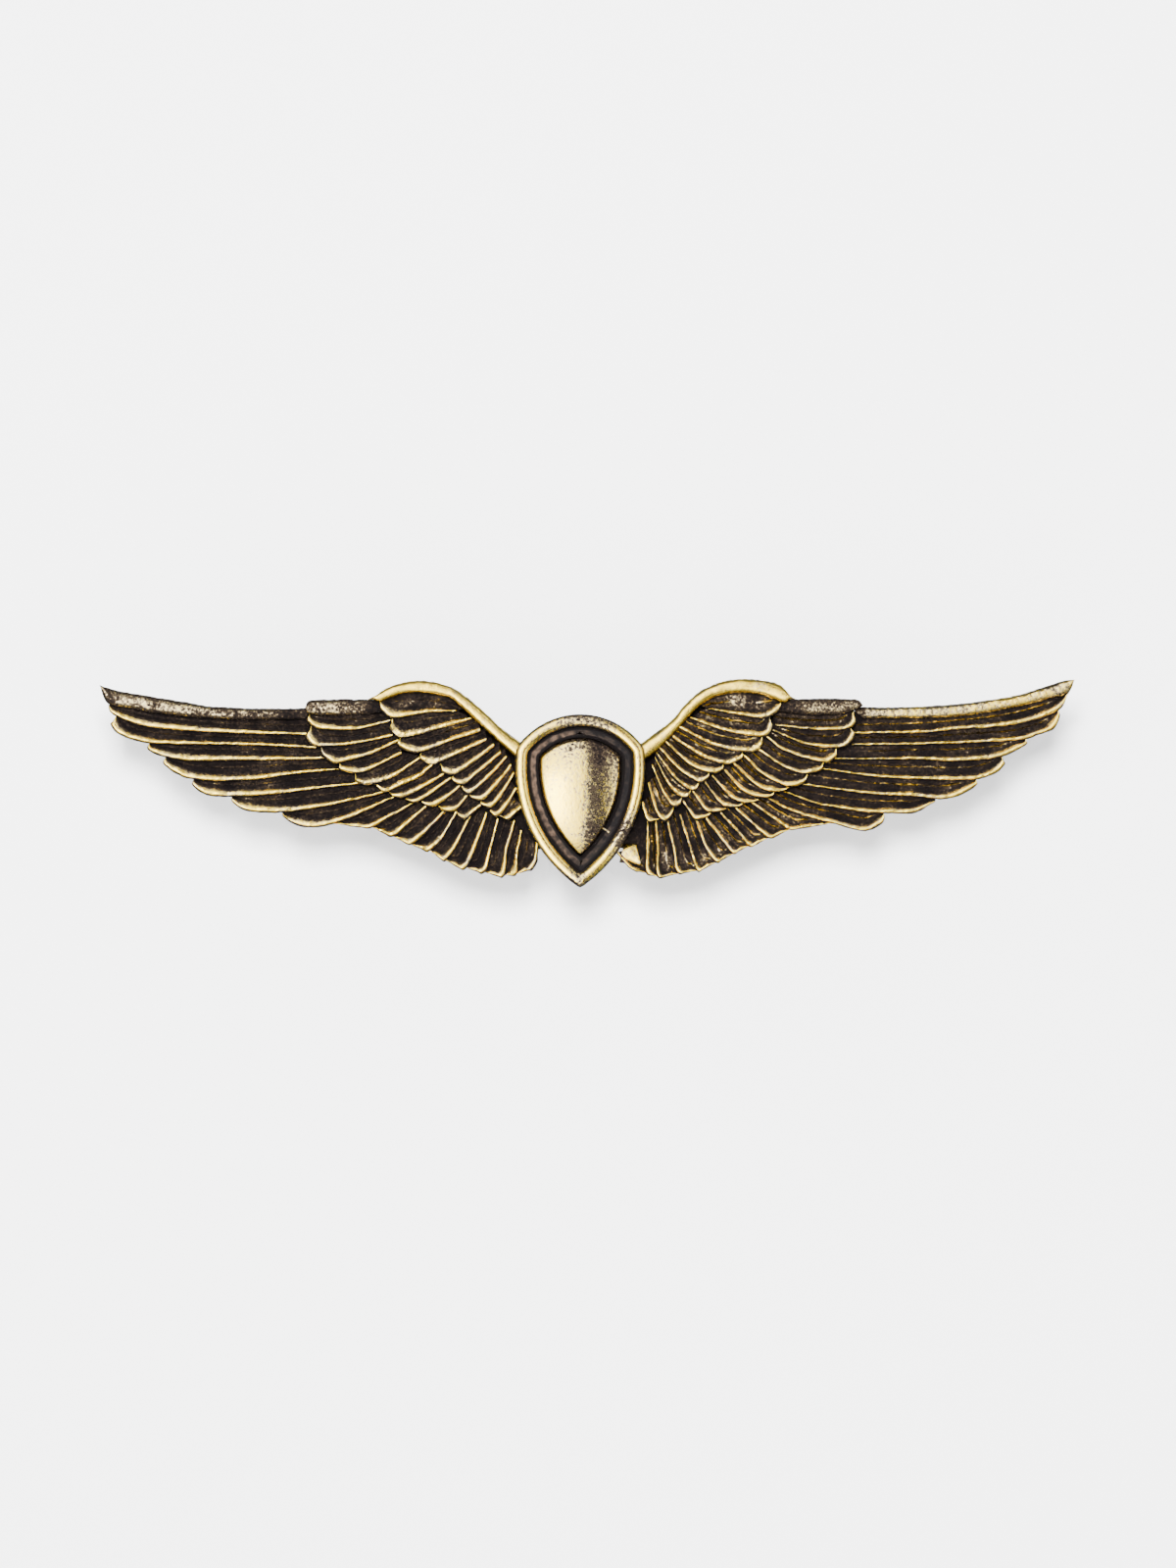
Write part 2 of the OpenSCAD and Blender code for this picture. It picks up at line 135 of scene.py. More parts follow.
# wings
# Each feather is drawn by its lower rim, from its tip to its root, in mm outwards and up.
wings = {
    # heights of the plate, of each tier above it, of a ridge and of a shaft, and a ridge's width
    "plate": 1.0, "tierRise": 0.45, "ridge": 0.3, "shaft": 0.12, "ridgeWidth": 0.58,
    # mm between drawn points, points along a tier's top edge, mm that a feather goes under the one above
    "step": 0.16, "edgePoints": 40, "overlap": 0.14,
    # across a ridge: share of its width from the rim, share of its height, wear
    "ridgeShape": [(0, 0.3, 0.28), (0.12, 0.8, 0.66), (0.3, 1.0, 1.0), (0.52, 0.98, 0.93),
                   (0.76, 0.65, 0.52), (1.0, 0.08, 0.12)],
    # across a shaft: mm from the middle of the web, share of its height, wear
    "shaftShape": [(-0.14, 0, 0.05), (-0.06, 0.6, 0.45), (0, 1, 0.75), (0.06, 0.6, 0.45), (0.14, 0, 0.05)],
    # left and right: wear of the shafts, higher on the right as a painted highlight, thickness of the ridges
    "shaftWearAndHighlight": (0.35, 0.85), "sideThick": (1.1, 0.86),
    # a ridge's thickness at the tip, what it loses further on and how soon, and its most share of the width
    "ridgeAtTip": 1.35, "ridgeLoss": 0.7, "ridgeSoon": 1.25, "ridgeMost": 0.55,
    # the shaft's place across the web, and the web's widths in mm between which there is one, with the mm
    # over which it fades in and out
    "shaftPlace": 0.47, "shaftFrom": 0.45, "shaftIn": 0.3, "shaftTo": 1.7, "shaftOut": 0.4,
    # feathers of one tier: thickness of the ridges, slope of the webs, wear of the webs left and right
    # (higher on the right partly as a painted highlight), and how far a feather runs on past its drawn root
    "tiers": {
        "primaries": {"thick": 0.95, "slope": 0.14, "webWear": (0.1, 0.13), "reach": 0.9},
        "secondaries": {"thick": 0.95, "slope": 0.12, "webWear": (0.1, 0.32), "reach": 0.9},
        "middles": {"thick": 1.0, "slope": 0.12, "webWear": (0.12, 0.22), "reach": 0.9},
        "uppers": {"thick": 1.15, "slope": 0.12, "webWear": (0.15, 0.28), "reach": 0.5}},
    # points across a smooth bar, wear that it loses by its root, share of the unevenness that it gets
    "barPoints": 11, "barDull": 0.3, "barUneven": 0.35,
    # smooth bars along the top: height, wear left and right, and where they start to dull
    "bars": {
        "primaryBar": {"height": 0.6, "wear": (0.48, 0.76), "dullFrom": 0.75},
        "facet": {"height": 0.6, "wear": (0.8, 0.8), "dullFrom": 0.95},
        "middleBar": {"height": 0.51, "wear": (0.46, 0.46), "dullFrom": 0.5},
        "upperBar": {"height": 0.6, "wear": (1.02, 1.02), "dullFrom": 0.95}},
    # foot of each of them: how many tiers up it stands, and mm sunk below that
    "foot": {"primaryBar": (0, 0.1), "primaries": (0, 0.1), "secondaries": (0, 0.1), "facet": (0, 0.35),
             "middleBar": (1, 0), "middles": (1, 0), "upperBar": (2, 0), "uppers": (2, 0.1)},
    # secondaries: first edge point that they hang from, then where the first one starts and the gap after
    # each tip, both as shares of that edge
    "secondaryEdge": 14, "secondaryStart": 0.16, "secondaryGap": 0.06,
    # size in mm of the casting's lumps, finer grains, sideways wander and patches of wear
    "lumps": 0.8, "grains": 0.27, "wander": 0.3, "patches": 2.2,
    "coreDepth": 0.95, "backWear": 0.85,
    "right": {
        "primaryBar": (
            [(38.45, 8.15), (37.9, 7.0), (36.5, 6.6), (34, 6), (31, 5.45), (28, 5.15), (22, 5.05)],
            [(38.45, 8.15), (37.5, 8.05), (36, 7.55), (34, 6.95), (31, 6.45), (28, 6.15), (25, 6), (21, 6)]),
        "primaries": [
            [(37.9, 7.0), (37.4, 5.9), (36, 5.2), (34, 4.65), (32, 4.4), (29, 4.2), (27, 4), (22, 3.9)],
            [(37.3, 5.3), (36.8, 4.3), (35.5, 3.8), (34, 3.4), (28, 3.1), (22, 3)],
            [(34.7, 3.1), (33.5, 2.4), (32, 1.95), (29, 1.75), (26, 1.9), (20, 1.9)],
            [(33, 1.5), (32, 0.7), (30, 0.3), (25, 0.4), (22, 0.65), (19.5, 1)],
            [(30.8, -0.1), (29.5, -0.9), (28, -1.2), (26, -1), (23, -0.85), (20, -0.5), (18, -0.2)],
            [(27.5, -1.4), (26, -2.25), (24, -2.3), (22, -2.2), (20, -1.9), (18, -1.5), (16.2, -0.8)],
            [(23.6, -2.7), (23.3, -3.2), (22, -3.7), (20, -3.2), (18, -2.7), (16, -2), (14.5, -1.2)]],
        "secondaries": [
            [(16.5, -3.6), (16, -3.5), (15.2, -2.95), (13.6, -1.8)],
            [(14.8, -4.3), (14.3, -4.1), (13.6, -3.5), (12.3, -2.3)],
            [(13.2, -4.95), (12.8, -4.7), (12.2, -3.95), (10.9, -2.5)],
            [(11.9, -5.5), (11.5, -5.2), (10.8, -4.3), (9.8, -3)],
            [(10.6, -6.2), (10.2, -5.9), (9.5, -4.8), (8.9, -3.1)],
            [(9.1, -6.9), (8.8, -6.5), (8.4, -5.2), (7.8, -3.3)],
            [(7.6, -7.1), (7.25, -6.6), (7.1, -5.3), (6.7, -3.5)],
            [(6, -7.4), (5.75, -6.8), (5.8, -5.2), (5.7, -3.6)],
            [(5.1, -7.1), (4.9, -6.6), (4.95, -5.4), (5, -3.7)],
            [(4.2, -6.85), (3.6, -6.5), (3.2, -6)]],
        "facet": (
            [(4.5, -6.5), (4, -6.4), (3.4, -6.2), (2.9, -6.1)],
            [(4.5, -5.6), (4.4, -4.9), (4.2, -4.5), (3.3, -4.6)]),
        "middleBar": (
            [(21.9, 6.1), (21.2, 5.7), (20, 5.4), (18, 5.35), (15.2, 5.6)],
            [(21.9, 6.1), (21.5, 6.55), (20, 6.65), (18, 6.65), (15.2, 6.6)]),
        "middles": [
            [(21.4, 4.9), (21, 4.4), (20, 4.2), (18, 4.2), (16, 4.4)],
            [(21.3, 3.8), (20.7, 3), (19.5, 2.8), (18, 2.95), (17, 3.2), (15.6, 3.8)],
            [(19.9, 2.2), (19.3, 1.7), (18.5, 1.7), (17, 2.1), (15.5, 2.7), (14.6, 3.4)],
            [(18.7, 1.1), (18, 0.85), (17, 0.8), (15.5, 1.4), (14.3, 2.2)],
            [(17.5, 0.3), (17, -0.1), (16, -0.2), (15, 0.2), (13.8, 0.9), (13, 1.7)],
            [(16.1, -0.3), (15.6, -0.55), (15, -0.65), (14, -0.4), (13, 0.3), (12.2, 1.1)],
            [(14.9, -0.9), (14.4, -1.1), (13.5, -1), (12.4, -0.5), (11.4, 0.6)],
            [(13.7, -1.3), (13.3, -1.45), (12.5, -1.5), (11.6, -1.1), (10.7, -0.1)],
            [(12.5, -1.6), (12.1, -1.8), (11.3, -1.8), (10.7, -1.5), (10.1, -0.7)],
            [(11.2, -2), (10.9, -2.15), (10.2, -2.2), (9.6, -2.1), (9.1, -1.4)],
            [(9.9, -2.5), (9.6, -2.65), (9.1, -2.75), (8.7, -2.7), (8.2, -2)]],
        "upperBar": (
            [(16.3, 6.8), (15.7, 6.3), (14, 6.9), (12, 7.1), (10.5, 6.8), (9.5, 6.3), (8.5, 5.4),
             (7, 3.7), (6, 2.7), (4.6, 1.6)],
            [(16.3, 6.8), (16, 7.2), (15.3, 7.8), (14, 8.1), (12.9, 8.2), (11.5, 8.1), (10.3, 7.8),
             (9, 7.1), (8, 6.2), (7, 5), (5.2, 3.6), (4.2, 2.9)]),
        "uppers": [
            [(15.5, 6), (15, 5.4), (14, 5.1), (12, 5.4), (10.5, 5.7)],
            [(14.9, 4.5), (14.3, 3.7), (12, 3.9), (10.5, 4.3), (8.8, 4.95)],
            [(14.1, 3.1), (13.5, 2.5), (12.5, 2.5), (11, 2.75), (9.5, 3.3), (8, 4.1)],
            [(12.5, 2), (11.5, 1.5), (10.2, 1.75), (9, 2.3), (7.3, 3.4)],
            [(11, 1.1), (10.3, 0.8), (9.3, 1), (8.2, 1.6), (6.8, 2.9)],
            [(9.9, 0.5), (9.3, 0.1), (8.7, 0.3), (7.5, 1.1), (6.3, 2.4)],
            [(9, -0.4), (8.6, -0.55), (8.1, -0.3), (7.1, 0.5), (6.1, 1.9)],
            [(8.4, -0.9), (8, -1.1), (7.5, -0.9), (6.7, -0.1), (5.9, 1.5)],
            [(7.7, -1.6), (7.2, -1.8), (6.8, -1.5), (6.2, -0.5), (5.6, 0.9)],
            [(7, -2.5), (6.5, -2.9), (6, -2.7), (5.6, -1.8), (5.2, -0.5)],
            [(5.6, -2.9), (5.2, -3), (4.9, -2.7), (4.7, -2)]]},
    "left": {
        "primaryBar": (
            [(37.65, 7.7), (37, 6.25), (35, 5.8), (32.7, 5.4), (27.7, 5), (21.7, 5)],
            [(37.65, 7.7), (36.5, 7.35), (34.7, 7), (31.7, 6.5), (28.7, 6.05), (24.7, 5.9), (21, 5.9)]),
        "primaries": [
            [(37, 6.25), (36.8, 5.6), (35.7, 4.95), (33.7, 4.4), (29.7, 4.05), (25.7, 3.9), (21.7, 3.8)],
            [(36.8, 4.6), (36.2, 3.9), (34.7, 3.35), (32.7, 3.1), (25.7, 3), (21.7, 2.8)],
            [(33.9, 2.7), (32.7, 2.1), (30.7, 1.8), (27.7, 1.8), (20.7, 1.9)],
            [(32.7, 1.6), (31.7, 0.8), (30.7, 0.4), (28.7, 0.2), (25.7, 0.3), (22.7, 0.7), (19.7, 1)],
            [(30.4, -0.1), (29.2, -0.9), (26.7, -1), (23.7, -0.8), (20.7, -0.4), (18, -0.1)],
            [(27.3, -1.4), (26.2, -2.1), (23.7, -2.25), (20.7, -1.9), (18.7, -1.5), (16.2, -0.9)],
            [(23.3, -2.6), (22.2, -3.25), (20.7, -3.4), (18.7, -2.9), (17.2, -2.3), (14.9, -1.2)]],
        "secondaries": [
            [(16.7, -3.5), (16.2, -3.35), (15.2, -2.75), (13.9, -2)],
            [(15, -4.15), (14.5, -4), (13.7, -3.3), (12.5, -2.2)],
            [(13.5, -4.8), (13, -4.55), (12.2, -3.85), (11.1, -2.7)],
            [(12.1, -5.35), (11.7, -5.1), (11, -4.45), (10.2, -3.1)],
            [(10.8, -6.1), (10.4, -5.75), (9.8, -4.9), (9, -3.3)],
            [(9.3, -6.75), (8.9, -6.4), (8.35, -5.2), (7.6, -3.1)],
            [(7.8, -7.05), (7.4, -6.6), (7.1, -5.3), (6.7, -3.7)],
            [(6.2, -7.35), (5.95, -6.8), (5.8, -5.2), (5.4, -3.8)],
            [(5.2, -7.2), (5, -6.7), (4.95, -5.4), (4.8, -4.6)],
            [(3.9, -6.75), (3.5, -6.1), (3.45, -5.5)]],
        "middleBar": (
            [(21.6, 5.95), (21.2, 5.4), (19, 5.3), (16.7, 5.4), (15.2, 5.6)],
            [(21.6, 5.95), (21.2, 6.5), (19, 6.6), (17, 6.6), (15.2, 6.6)]),
        "middles": [
            [(21.5, 5), (20.9, 4.4), (19.7, 4.2), (17.7, 4.2), (15.9, 4.6)],
            [(21.6, 3.7), (21, 3), (19.7, 2.9), (17.7, 3.1), (15.7, 3.5)],
            [(20.3, 2.3), (19.4, 1.6), (18.2, 1.8), (16.7, 2.2), (15.1, 2.9)],
            [(18.9, 1.1), (17.7, 0.8), (16.7, 1), (14.9, 1.9)],
            [(17.7, 0.2), (16.7, -0.1), (14.7, 0.5), (13.1, 1.6)],
            [(15.9, -0.3), (15.4, -0.7), (14.4, -0.3), (12.7, 0.5), (12.1, 1)],
            [(14.8, -0.9), (14, -1.1), (12.7, -0.5), (11.5, 0.2)],
            [(13.7, -1.2), (13, -1.5), (12, -1), (10.9, -0.2)],
            [(12.4, -1.6), (11.6, -1.8), (10.7, -1.3), (10.1, -0.8)],
            [(11.1, -2), (10.3, -2.2), (9.7, -2), (9.3, -1.5)],
            [(9.6, -2.6), (9.1, -2.8), (8.4, -2.2)]],
        "upperBar": (
            [(16.3, 6.75), (15.7, 6.4), (13.7, 7.05), (10.7, 6.8), (9.4, 5.9), (6.7, 3.4), (5.6, 2.4),
             (4.6, 1.5)],
            [(16.3, 6.75), (15.3, 7.45), (14, 7.9), (12.7, 8.05), (11.2, 7.9), (9.7, 7.3), (7.7, 5.7),
             (6.2, 4.25), (5, 3.4), (4.2, 2.8)]),
        "uppers": [
            [(15.7, 5.8), (14.7, 5.1), (12.2, 5.5), (10.5, 5.6)],
            [(15, 4.3), (14.2, 3.6), (12.7, 3.8), (10.7, 4.4), (9, 4.9)],
            [(14.4, 3), (13.2, 2.4), (12, 2.6), (10.2, 3.3), (8.4, 3.9)],
            [(12.6, 1.9), (11.7, 1.5), (10.7, 1.8), (9.2, 2.5), (7.9, 3.1)],
            [(10.9, 0.9), (9.9, 0.7), (8.5, 1.6), (7.2, 2.6)],
            [(10.1, 0.2), (9.2, -0.1), (8.2, 0.7), (6.7, 2)],
            [(9.4, -0.4), (8.7, -0.8), (7.3, 0.4), (6.2, 1.6)],
            [(8.6, -1.1), (7.7, -1.3), (6.9, -0.5), (5.8, 0.9)],
            [(7.9, -1.6), (7.1, -1.9), (6.4, -1.2), (5.5, 0.3)],
            [(7.2, -2.1), (6.7, -2.6), (6, -2), (5.3, -0.9)],
            [(6.1, -2.7), (5.7, -2.8), (5, -2.2)]]},
    # right half of the flat core under the tiers
    "core": [(0, 3.2), (4.6, 3.1), (7, 4.9), (9.5, 7.2), (13, 7.9), (16.6, 6.2), (22, 5.6), (21, 2),
             (18.5, -1.5), (14, -3), (10, -4.8), (5.6, -5.8), (3.8, -5.3), (2.8, -4.9), (0, -4.9)],
}


def panel(name, lower, upper, place, side, uneven=1):
    # a closed slab whose front is drawn between two lines by place(t, width), a list of
    # (share of the width, height, wear)
    count = len(lower)
    rows = len(place(0.5, 1))
    bm = bmesh.new()
    bmesh.ops.create_grid(bm, x_segments=rows - 1, y_segments=count - 1, size=1)
    wear = bm.verts.layers.float.new("wear")
    bm.verts.ensure_lookup_table()
    for j in range(count):
        a, b = lower[j], upper[j]
        width = max((b - a).length, 0.02)
        for k, (share, height, shine) in enumerate(place(j / (count - 1), width)):
            v = bm.verts[j * rows + k]
            p = a.lerp(b, share)
            spot = Vector((p.x * side, height / 2, p.y))
            # a casting is never quite even: each of these moves the surface by 0.05 mm at most
            wide = noise.noise(spot / wings["lumps"])
            fine = noise.noise(spot / wings["grains"])
            sideways = noise.noise(spot / wings["wander"] + Vector((7, 0, 0)))
            lift = uneven * (0.03 * wide + 0.04 * fine)
            v.co = (side * (p.x + 0.03 * sideways) * mm, -(height + lift) * mm,
                    (p.y + 0.03 * wide + 0.05 * fine) * mm)
            v[wear] = shine * (1 + uneven * 0.3 * noise.noise(spot / wings["patches"]))
    sides = bmesh.ops.extrude_edge_only(bm, edges=[e for e in bm.edges if e.is_boundary])
    for v in [e for e in sides["geom"] if isinstance(e, bmesh.types.BMVert)]:
        v.co.y = 0
        v[wear] = 0.1
    bmesh.ops.holes_fill(bm, edges=[e for e in bm.edges if e.is_boundary], sides=0)
    bmesh.ops.triangulate(bm, faces=bm.faces)
    bmesh.ops.recalc_face_normals(bm, faces=bm.faces)
    mesh = bpy.data.meshes.new(name)
    bm.to_mesh(mesh)
    bm.free()
    return bpy.data.objects.new(name, mesh)


def clamp(value):
    return min(1, max(0, value))


def featherPlace(foot, slope, thick, shaftWearAndHighlight, webWear):
    # a worn ridge along the rim, then a dark web that slopes down, with a thin shaft along its middle
    def place(t, width):
        taper = wings["ridgeAtTip"] - wings["ridgeLoss"] * min(1, wings["ridgeSoon"] * t)
        reach = min(wings["ridgeWidth"] * thick * taper, wings["ridgeMost"] * width)
        out = []
        for share, height, wear in wings["ridgeShape"]:
            out.append((share * reach / width, foot + slope + wings["ridge"] * height, wear))
        web = width - reach
        # the shaft fades in over an eighth of the feather from its tip, and where the web suits it
        fade = clamp((web - wings["shaftFrom"]) / wings["shaftIn"]) * min(1, t * 8)
        fade *= clamp((wings["shaftTo"] - web) / wings["shaftOut"])
        middle = reach + wings["shaftPlace"] * web
        # the web's and shaft's wear values are higher on the right wing partly as a painted highlight, where
        # the slopes face the light
        out.append(((reach + 0.2 * web) / width, foot + slope * 0.8, webWear))
        for off, height, wear in wings["shaftShape"]:
            off = max(-0.2 * web, min(0.2 * web, off))
            out.append(((middle + off) / width, foot + slope * 0.5 + wings["shaft"] * height * fade,
                        webWear + wear * fade * shaftWearAndHighlight))
        out.append(((reach + 0.8 * web) / width, foot + slope * 0.2, webWear))
        out.append((1, foot, 0))
        return out
    return place


def barPlace(foot, height, wear, dullFrom):
    # a smooth rounded bar, duller towards its root, whose edges stand at a fifth of its height
    def place(t, width):
        out = []
        dull = wings["barDull"] * max(0, t - dullFrom) / (1 - dullFrom)
        for k in range(wings["barPoints"]):
            share = k / (wings["barPoints"] - 1)
            bulge = (1 - abs(2 * share - 1) ** 3) ** 0.6
            out.append((share, foot + height * (0.2 + 0.8 * bulge), wear - 0.2 + 0.2 * bulge - dull))
        return out
    return place


def nearest(line, point):
    return min(range(len(line)), key=lambda k: (line[k] - point).length)


def footOf(key):
    tiersUp, sunk = wings["foot"][key]
    return wings["plate"] + tiersUp * wings["tierRise"] - sunk


def tuck(rim, above, where):
    # the rim starts on the feather above it: where that is nearest, or a share of the way along it
    tip = Vector(rim[0])
    if where is None:
        k = nearest(above, tip)
    else:
        k = int(where * (len(above) - 1))
    start = above[k]
    gap = (start - tip).length
    # a tip that stands clear of it keeps its round corner
    if gap > 0.25:
        corner = [tuple(tip.lerp(start, 0.3 / gap))] if gap > 0.6 else []
        rim = [tuple(start)] + corner + list(rim)
    return rim, above[k:]


def tier(wing, side, key, above, where=None):
    # each feather lies between its own rim and the rim above it
    made = []
    style = wings["tiers"][key]
    right = side > 0
    place = featherPlace(footOf(key), style["slope"], style["thick"] * wings["sideThick"][right],
                         wings["shaftWearAndHighlight"][right], style["webWear"][right])
    tip = None
    for i, rim in enumerate(wing[key]):
        if key == "secondaries" and tip:
            # a step further along the wing's edge than the last feather's tip
            where = nearest(above, Vector(tip)) / (len(above) - 1) + wings["secondaryGap"]
        tip = rim[0]
        rim, over = tuck(rim, above, where)
        end = Vector(rim[-1]) + (Vector(rim[-1]) - Vector(rim[-2])).normalized() * style["reach"]
        count = max(12, int(curveLength(rim) / wings["step"]))
        lower = smoothLine(list(rim) + [tuple(end)], count)
        # the upper line stops where it is nearest to the feather's end, so that the two don't cross
        over = over[:max(4, 1 + nearest(over, end))]
        far = over[-1] + (over[-1] - over[-2]).normalized() * 0.4
        upper = smoothLine([tuple(p) for p in over[::3]] + [tuple(over[-1]), tuple(far)], count)
        tucked = []
        for a, b in zip(lower, upper):
            apart = b - a
            tucked.append(b + apart.normalized() * wings["overlap"] if apart.length > 0.05 else b)
        made.append(panel(f"{key}{i}", lower, tucked, place, side))
        above = lower
    return made


def bar(wing, side, key):
    lower, upper = wing[key]
    style = wings["bars"][key]
    count = int(curveLength(upper) / wings["step"])
    place = barPlace(footOf(key), style["height"], style["wear"][side > 0], style["dullFrom"])
    return panel(key, smoothLine(lower, count), smoothLine(upper, count), place, side,
                 wings["barUneven"])


def makeCore():
    # flat core between and under the tiers
    depth = wings["coreDepth"] * mm
    bm = bmesh.new()
    outline = wings["core"] + [(-x, z) for x, z in reversed(wings["core"][1:-1])]
    face = bm.faces.new([bm.verts.new((x * mm, -depth, z * mm)) for x, z in outline])
    sides = bmesh.ops.extrude_face_region(bm, geom=[face], use_keep_orig=True)
    for v in [e for e in sides["geom"] if isinstance(e, bmesh.types.BMVert)]:
        v.co.y = 0
    bm.verts.layers.float.new("wear")
    bmesh.ops.triangulate(bm, faces=bm.faces)
    bmesh.ops.recalc_face_normals(bm, faces=bm.faces)
    mesh = bpy.data.meshes.new("core")
    bm.to_mesh(mesh)
    bm.free()
    core = bpy.data.objects.new("core", mesh)
    scene.collection.objects.link(core)
    return core


def makeWings():
    parts = []
    points = wings["edgePoints"]
    for side, name in ((1, "right"), (-1, "left")):
        wing = wings[name]
        parts.append(bar(wing, side, "primaryBar"))
        parts += tier(wing, side, "primaries", smoothLine(wing["primaryBar"][0], points))
        edge = smoothLine(wing["primaries"][-1], points)[wings["secondaryEdge"]:]
        parts += tier(wing, side, "secondaries", edge, wings["secondaryStart"])
        if "facet" in wing:
            parts.append(bar(wing, side, "facet"))
        parts.append(bar(wing, side, "middleBar"))
        parts += tier(wing, side, "middles", smoothLine(wing["middleBar"][0], points))
        parts.append(bar(wing, side, "upperBar"))
        parts += tier(wing, side, "uppers", smoothLine(wing["upperBar"][0], points))
    # the core and everything on it become one casting
    core = makeCore()
    group = bpy.data.collections.new("castingParts")
    for part in parts:
        group.objects.link(part)
    fuse = core.modifiers.new("fuse", "BOOLEAN")
    fuse.operation = "UNION"
    fuse.solver = "MANIFOLD"
    fuse.operand_type = "COLLECTION"
    fuse.collection = group
    casting = bpy.data.meshes.new_from_object(core.evaluated_get(bpy.context.evaluated_depsgraph_get()))
    bm = bmesh.new()
    bm.from_mesh(casting)
    bmesh.ops.triangulate(bm, faces=bm.faces)
    wear = bm.verts.layers.float["wear"]
    for v in bm.verts:
        if v.co.y > -0.01 * mm:
            v[wear] = wings["backWear"]                  # the back
    print("casting fused,", len(bm.faces), "faces")
    for part in parts + [core]:
        bpy.data.objects.remove(part)
    bpy.data.collections.remove(group)
    piece = makePiece("wing_casting", bm, antiquedGilt, 50)
    for face in piece.data.polygons:
        # the flat back is shaded flat
        face.use_smooth = face.normal.y < 0.9
    return piece


# shield
shield = {
    # outline: two side arcs and a top arc, in mm, and how crisply they meet
    "halfWidth": 5.08, "sideRadius": 11.4, "sideUp": 1.36, "topRadius": 6.06, "topUp": -0.62,
    "middleUp": 0.5, "middleX": -0.15, "corner": 110, "turns": 180,
    # inset from the outline, height in front of the plate's back, wear
    "rim": [(0.3, 1.1, 0.75), (0.02, 1.15, 0.7), (0, 1.5, 0.4), (0, 2.0, 0.38), (0.02, 2.6, 0.42),
            (0.05, 2.86, 0.5), (0.12, 2.99, 0.82), (0.28, 3.06, 1), (0.5, 3.09, 1), (0.7, 3.07, 1),
            (0.86, 3.0, 0.95), (0.94, 2.8, 0.45), (0.97, 2.5, 0.2), (0.99, 2.25, 0.1), (1.01, 2.0, 0),
            (1.8, 2.0, 0), (1.83, 2.2, 0.1)],
    # lines drawn in further than this are drawn in a share more round the point, over this many degrees
    "pointFrom": 1.2, "pointShare": 0.05, "pointSpread": 40,
    # the rim's duller stretches: angle and spread in degrees, how dull
    "dull": [(95, 38, 0.45), (62, 12, 0.12), (-52, 17, 0.56), (-92, 7, 0.36)],
    # a sliver of metal left across the groove, and its lowest and highest place
    "sliver": (1.78, -3.52), "sliverLength": 0.8, "sliverWidth": 0.11, "sliverTurn": 38,
    "sliverHeights": (2.2, 2.47), "sliverWear": 0.62,
    "domeInset": 1.86, "domeRadius": 12, "domeUp": -0.6, "domeCrown": 3.35, "domeFoot": 2.2, "domeEdge": 0.3,
    "domeRings": 26,
    # the dome's darker parts, partly pits and partly a painted dark reflection and painted shade: its right
    # half, its top and a leaning band, by place, spread and how dark
    "domeRight": 0.32, "domeTop": (3.8, 2.2, 0.42), "domeBand": (1.3, 0.6, 0.22), "bandLean": 0.09,
    # the enamel's section, as the rim's, with how black it is in place of its wear: black at its edges,
    # partly painted shade in the corners, and lighter in its middle as a painted sheen
    "enamel": [(0.96, 2.2, 1), (1.0, 2.42, 1), (1.08, 2.38, 0.7), (1.15, 2.33, 0.35), (1.28, 2.31, 0),
               (1.56, 2.31, 0), (1.66, 2.33, 0.35), (1.75, 2.38, 0.7), (1.83, 2.42, 1), (1.88, 2.2, 1)],
}


def shieldReach(angle, inset):
    # distance from the middle to the outline drawn in by inset, with softened corners and a deeper point
    if inset > shield["pointFrom"]:
        away = math.degrees(angle) % 360 - 270
        inset *= 1 + shield["pointShare"] * math.exp(-(away / shield["pointSpread"]) ** 2)
    ray = Vector((math.cos(angle), math.sin(angle)))
    edge = shield["sideRadius"] - shield["halfWidth"]
    arcs = [((x, shield["sideUp"]), shield["sideRadius"]) for x in (-edge, edge)]
    if ray.y > 0:
        arcs.append(((0, shield["topUp"]), shield["topRadius"]))
    total = 0
    for centre, radius in arcs:
        off = Vector((0, shield["middleUp"])) - Vector(centre)
        along = off.dot(ray)
        reach = -along + math.sqrt(along * along - off.dot(off) + (radius - inset) ** 2)
        total += reach ** -shield["corner"]
    return total ** (-1 / shield["corner"])


def shieldRings(bm, rings, close):
    # rings of vertices round the shield, joined to each other
    # each ring is a function that gives the reach, height and wear at an angle; for the enamel that value is
    # its painted sheen and edge shade
    wear = bm.verts.layers.float.get("wear") or bm.verts.layers.float.new("wear")
    turns = shield["turns"]
    loops = []
    for ring in rings:
        verts = bmesh.ops.create_circle(bm, segments=turns, radius=1)["verts"]
        for i, v in enumerate(verts):
            angle = 2 * math.pi * i / turns
            reach, height, shine = ring(angle)
            v.co = ((shield["middleX"] + reach * math.cos(angle)) * mm, -height * mm,
                    (shield["middleUp"] + reach * math.sin(angle)) * mm)
            v[wear] = shine
        loops.append(verts)
    pairs = list(zip(loops, loops[1:] + [loops[0]]))
    for a, b in pairs if close else pairs[:-1]:
        edges = [e for ring in (a, b) for i, v in enumerate(ring)
                 for e in v.link_edges if e.other_vert(v) is ring[(i + 1) % turns]]
        bmesh.ops.bridge_loops(bm, edges=edges)
    return loops


def dullness(angle):
    left = 1
    for middle, spread, much in shield["dull"]:
        away = (math.degrees(angle) - middle + 180) % 360 - 180
        left -= much * math.exp(-(away / spread) ** 2)
    return left


